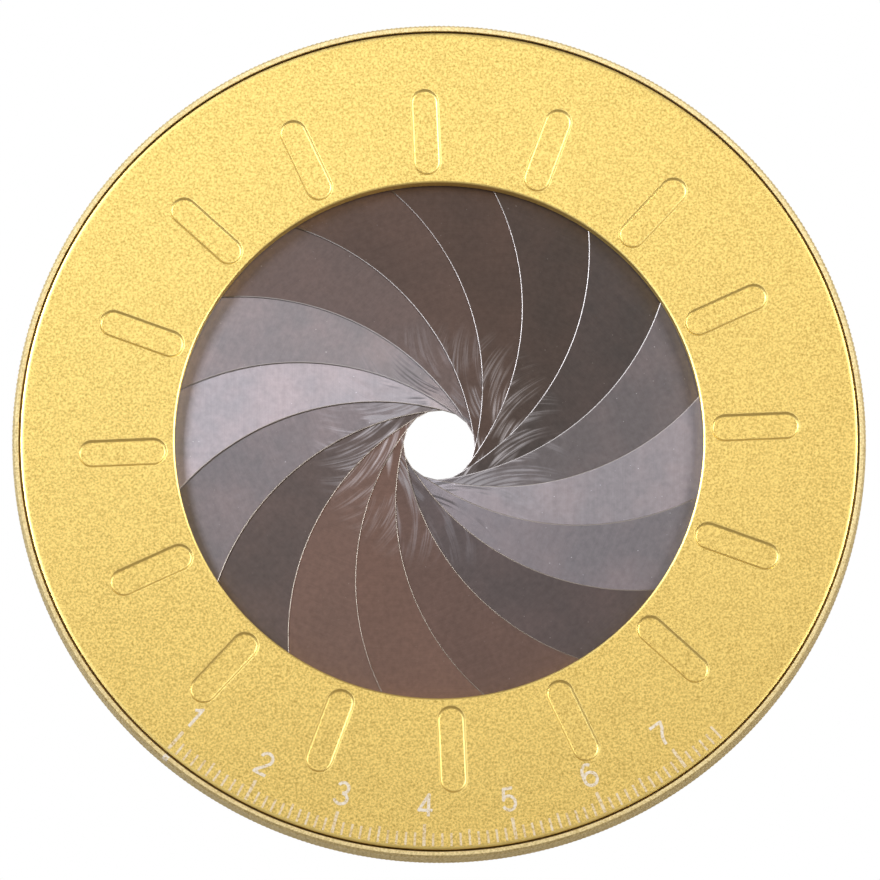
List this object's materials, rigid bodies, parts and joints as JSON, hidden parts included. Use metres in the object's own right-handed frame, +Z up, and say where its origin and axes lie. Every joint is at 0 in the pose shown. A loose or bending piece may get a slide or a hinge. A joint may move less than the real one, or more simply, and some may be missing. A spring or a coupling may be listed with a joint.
{
  "type": "iris circle template",
  "caption": "Flat gold ring whose graduated plate turns in a housing and swings overlapping steel blades, so the round hole in the middle opens and closes for drawing circles.",
  "frame": {"origin": "on the turning axis, at the underside of the housing", "axes": "+Z up along the turning axis, out of the graduated face; -Y towards the user, where the scale reads upright"},
  "size_m": [0.122, 0.122, 0.0065],
  "materials": {
    "housing": "blasted and gold anodised, with a fine knurl round the side",
    "scale_plate": "blasted and gold anodised",
    "blade": "rolled spring steel with rub marks",
    "pin": "turned",
    "spring_steel": "drawn wire"
  },
  "bodies": {
    "housing": {"housing": "housing", "retaining_wire": "spring_steel"},
    "scale_plate": {"scale_plate": "scale_plate"},
    "blade_01": {"blade_01": "blade", "pivot_pin_01": "pin", "drive_pin_01": "pin"},
    "blade_02": {"blade_02": "blade", "pivot_pin_02": "pin", "drive_pin_02": "pin"},
    "blade_03": {"blade_03": "blade", "pivot_pin_03": "pin", "drive_pin_03": "pin"},
    "blade_04": {"blade_04": "blade", "pivot_pin_04": "pin", "drive_pin_04": "pin"},
    "blade_05": {"blade_05": "blade", "pivot_pin_05": "pin", "drive_pin_05": "pin"},
    "blade_06": {"blade_06": "blade", "pivot_pin_06": "pin", "drive_pin_06": "pin"},
    "blade_07": {"blade_07": "blade", "pivot_pin_07": "pin", "drive_pin_07": "pin"},
    "blade_08": {"blade_08": "blade", "pivot_pin_08": "pin", "drive_pin_08": "pin"},
    "blade_09": {"blade_09": "blade", "pivot_pin_09": "pin", "drive_pin_09": "pin"},
    "blade_10": {"blade_10": "blade", "pivot_pin_10": "pin", "drive_pin_10": "pin"},
    "blade_11": {"blade_11": "blade", "pivot_pin_11": "pin", "drive_pin_11": "pin"},
    "blade_12": {"blade_12": "blade", "pivot_pin_12": "pin", "drive_pin_12": "pin"},
    "blade_13": {"blade_13": "blade", "pivot_pin_13": "pin", "drive_pin_13": "pin"},
    "blade_14": {"blade_14": "blade", "pivot_pin_14": "pin", "drive_pin_14": "pin"},
    "blade_15": {"blade_15": "blade", "pivot_pin_15": "pin", "drive_pin_15": "pin"},
    "blade_16": {"blade_16": "blade", "pivot_pin_16": "pin", "drive_pin_16": "pin"}
  },
  "joints": [
    {"name": "plate_turn", "type": "hinge", "parent": "housing", "child": "scale_plate", "pos_m": [0, 0, 0.005], "axis": [0, 0, 1], "range_deg": [-83.2, 0]},
    {"name": "blade_01_swing", "type": "hinge", "parent": "housing", "child": "blade_01", "pos_m": [0.01099, 0.04384, 0.0015], "axis": [0, 0, 1], "range_deg": [-42.2, 0]},
    {"name": "blade_02_swing", "type": "hinge", "parent": "housing", "child": "blade_02", "pos_m": [-0.00663, 0.04471, 0.0015], "axis": [0, 0, 1], "range_deg": [-42.2, 0]},
    {"name": "blade_03_swing", "type": "hinge", "parent": "housing", "child": "blade_03", "pos_m": [-0.02323, 0.03877, 0.0015], "axis": [0, 0, 1], "range_deg": [-42.2, 0]},
    {"name": "blade_04_swing", "type": "hinge", "parent": "housing", "child": "blade_04", "pos_m": [-0.0363, 0.02693, 0.0015], "axis": [0, 0, 1], "range_deg": [-42.2, 0]},
    {"name": "blade_05_swing", "type": "hinge", "parent": "housing", "child": "blade_05", "pos_m": [-0.04384, 0.01099, 0.0015], "axis": [0, 0, 1], "range_deg": [-42.2, 0]},
    {"name": "blade_06_swing", "type": "hinge", "parent": "housing", "child": "blade_06", "pos_m": [-0.04471, -0.00663, 0.0015], "axis": [0, 0, 1], "range_deg": [-42.2, 0]},
    {"name": "blade_07_swing", "type": "hinge", "parent": "housing", "child": "blade_07", "pos_m": [-0.03877, -0.02323, 0.0015], "axis": [0, 0, 1], "range_deg": [-42.2, 0]},
    {"name": "blade_08_swing", "type": "hinge", "parent": "housing", "child": "blade_08", "pos_m": [-0.02693, -0.0363, 0.0015], "axis": [0, 0, 1], "range_deg": [-42.2, 0]},
    {"name": "blade_09_swing", "type": "hinge", "parent": "housing", "child": "blade_09", "pos_m": [-0.01099, -0.04384, 0.0015], "axis": [0, 0, 1], "range_deg": [-42.2, 0]},
    {"name": "blade_10_swing", "type": "hinge", "parent": "housing", "child": "blade_10", "pos_m": [0.00663, -0.04471, 0.0015], "axis": [0, 0, 1], "range_deg": [-42.2, 0]},
    {"name": "blade_11_swing", "type": "hinge", "parent": "housing", "child": "blade_11", "pos_m": [0.02323, -0.03877, 0.0015], "axis": [0, 0, 1], "range_deg": [-42.2, 0]},
    {"name": "blade_12_swing", "type": "hinge", "parent": "housing", "child": "blade_12", "pos_m": [0.0363, -0.02693, 0.0015], "axis": [0, 0, 1], "range_deg": [-42.2, 0]},
    {"name": "blade_13_swing", "type": "hinge", "parent": "housing", "child": "blade_13", "pos_m": [0.04384, -0.01099, 0.0015], "axis": [0, 0, 1], "range_deg": [-42.2, 0]},
    {"name": "blade_14_swing", "type": "hinge", "parent": "housing", "child": "blade_14", "pos_m": [0.04471, 0.00663, 0.0015], "axis": [0, 0, 1], "range_deg": [-42.2, 0]},
    {"name": "blade_15_swing", "type": "hinge", "parent": "housing", "child": "blade_15", "pos_m": [0.03877, 0.02323, 0.0015], "axis": [0, 0, 1], "range_deg": [-42.2, 0]},
    {"name": "blade_16_swing", "type": "hinge", "parent": "housing", "child": "blade_16", "pos_m": [0.02693, 0.0363, 0.0015], "axis": [0, 0, 1], "range_deg": [-42.2, 0]}
  ],
  "couplings": [
    {"joint": "blade_01_swing", "follows": "plate_turn", "ratio": 0.50629},
    {"joint": "blade_02_swing", "follows": "plate_turn", "ratio": 0.50629},
    {"joint": "blade_03_swing", "follows": "plate_turn", "ratio": 0.50629},
    {"joint": "blade_04_swing", "follows": "plate_turn", "ratio": 0.50629},
    {"joint": "blade_05_swing", "follows": "plate_turn", "ratio": 0.50629},
    {"joint": "blade_06_swing", "follows": "plate_turn", "ratio": 0.50629},
    {"joint": "blade_07_swing", "follows": "plate_turn", "ratio": 0.50629},
    {"joint": "blade_08_swing", "follows": "plate_turn", "ratio": 0.50629},
    {"joint": "blade_09_swing", "follows": "plate_turn", "ratio": 0.50629},
    {"joint": "blade_10_swing", "follows": "plate_turn", "ratio": 0.50629},
    {"joint": "blade_11_swing", "follows": "plate_turn", "ratio": 0.50629},
    {"joint": "blade_12_swing", "follows": "plate_turn", "ratio": 0.50629},
    {"joint": "blade_13_swing", "follows": "plate_turn", "ratio": 0.50629},
    {"joint": "blade_14_swing", "follows": "plate_turn", "ratio": 0.50629},
    {"joint": "blade_15_swing", "follows": "plate_turn", "ratio": 0.50629},
    {"joint": "blade_16_swing", "follows": "plate_turn", "ratio": 0.50629}
  ]
}
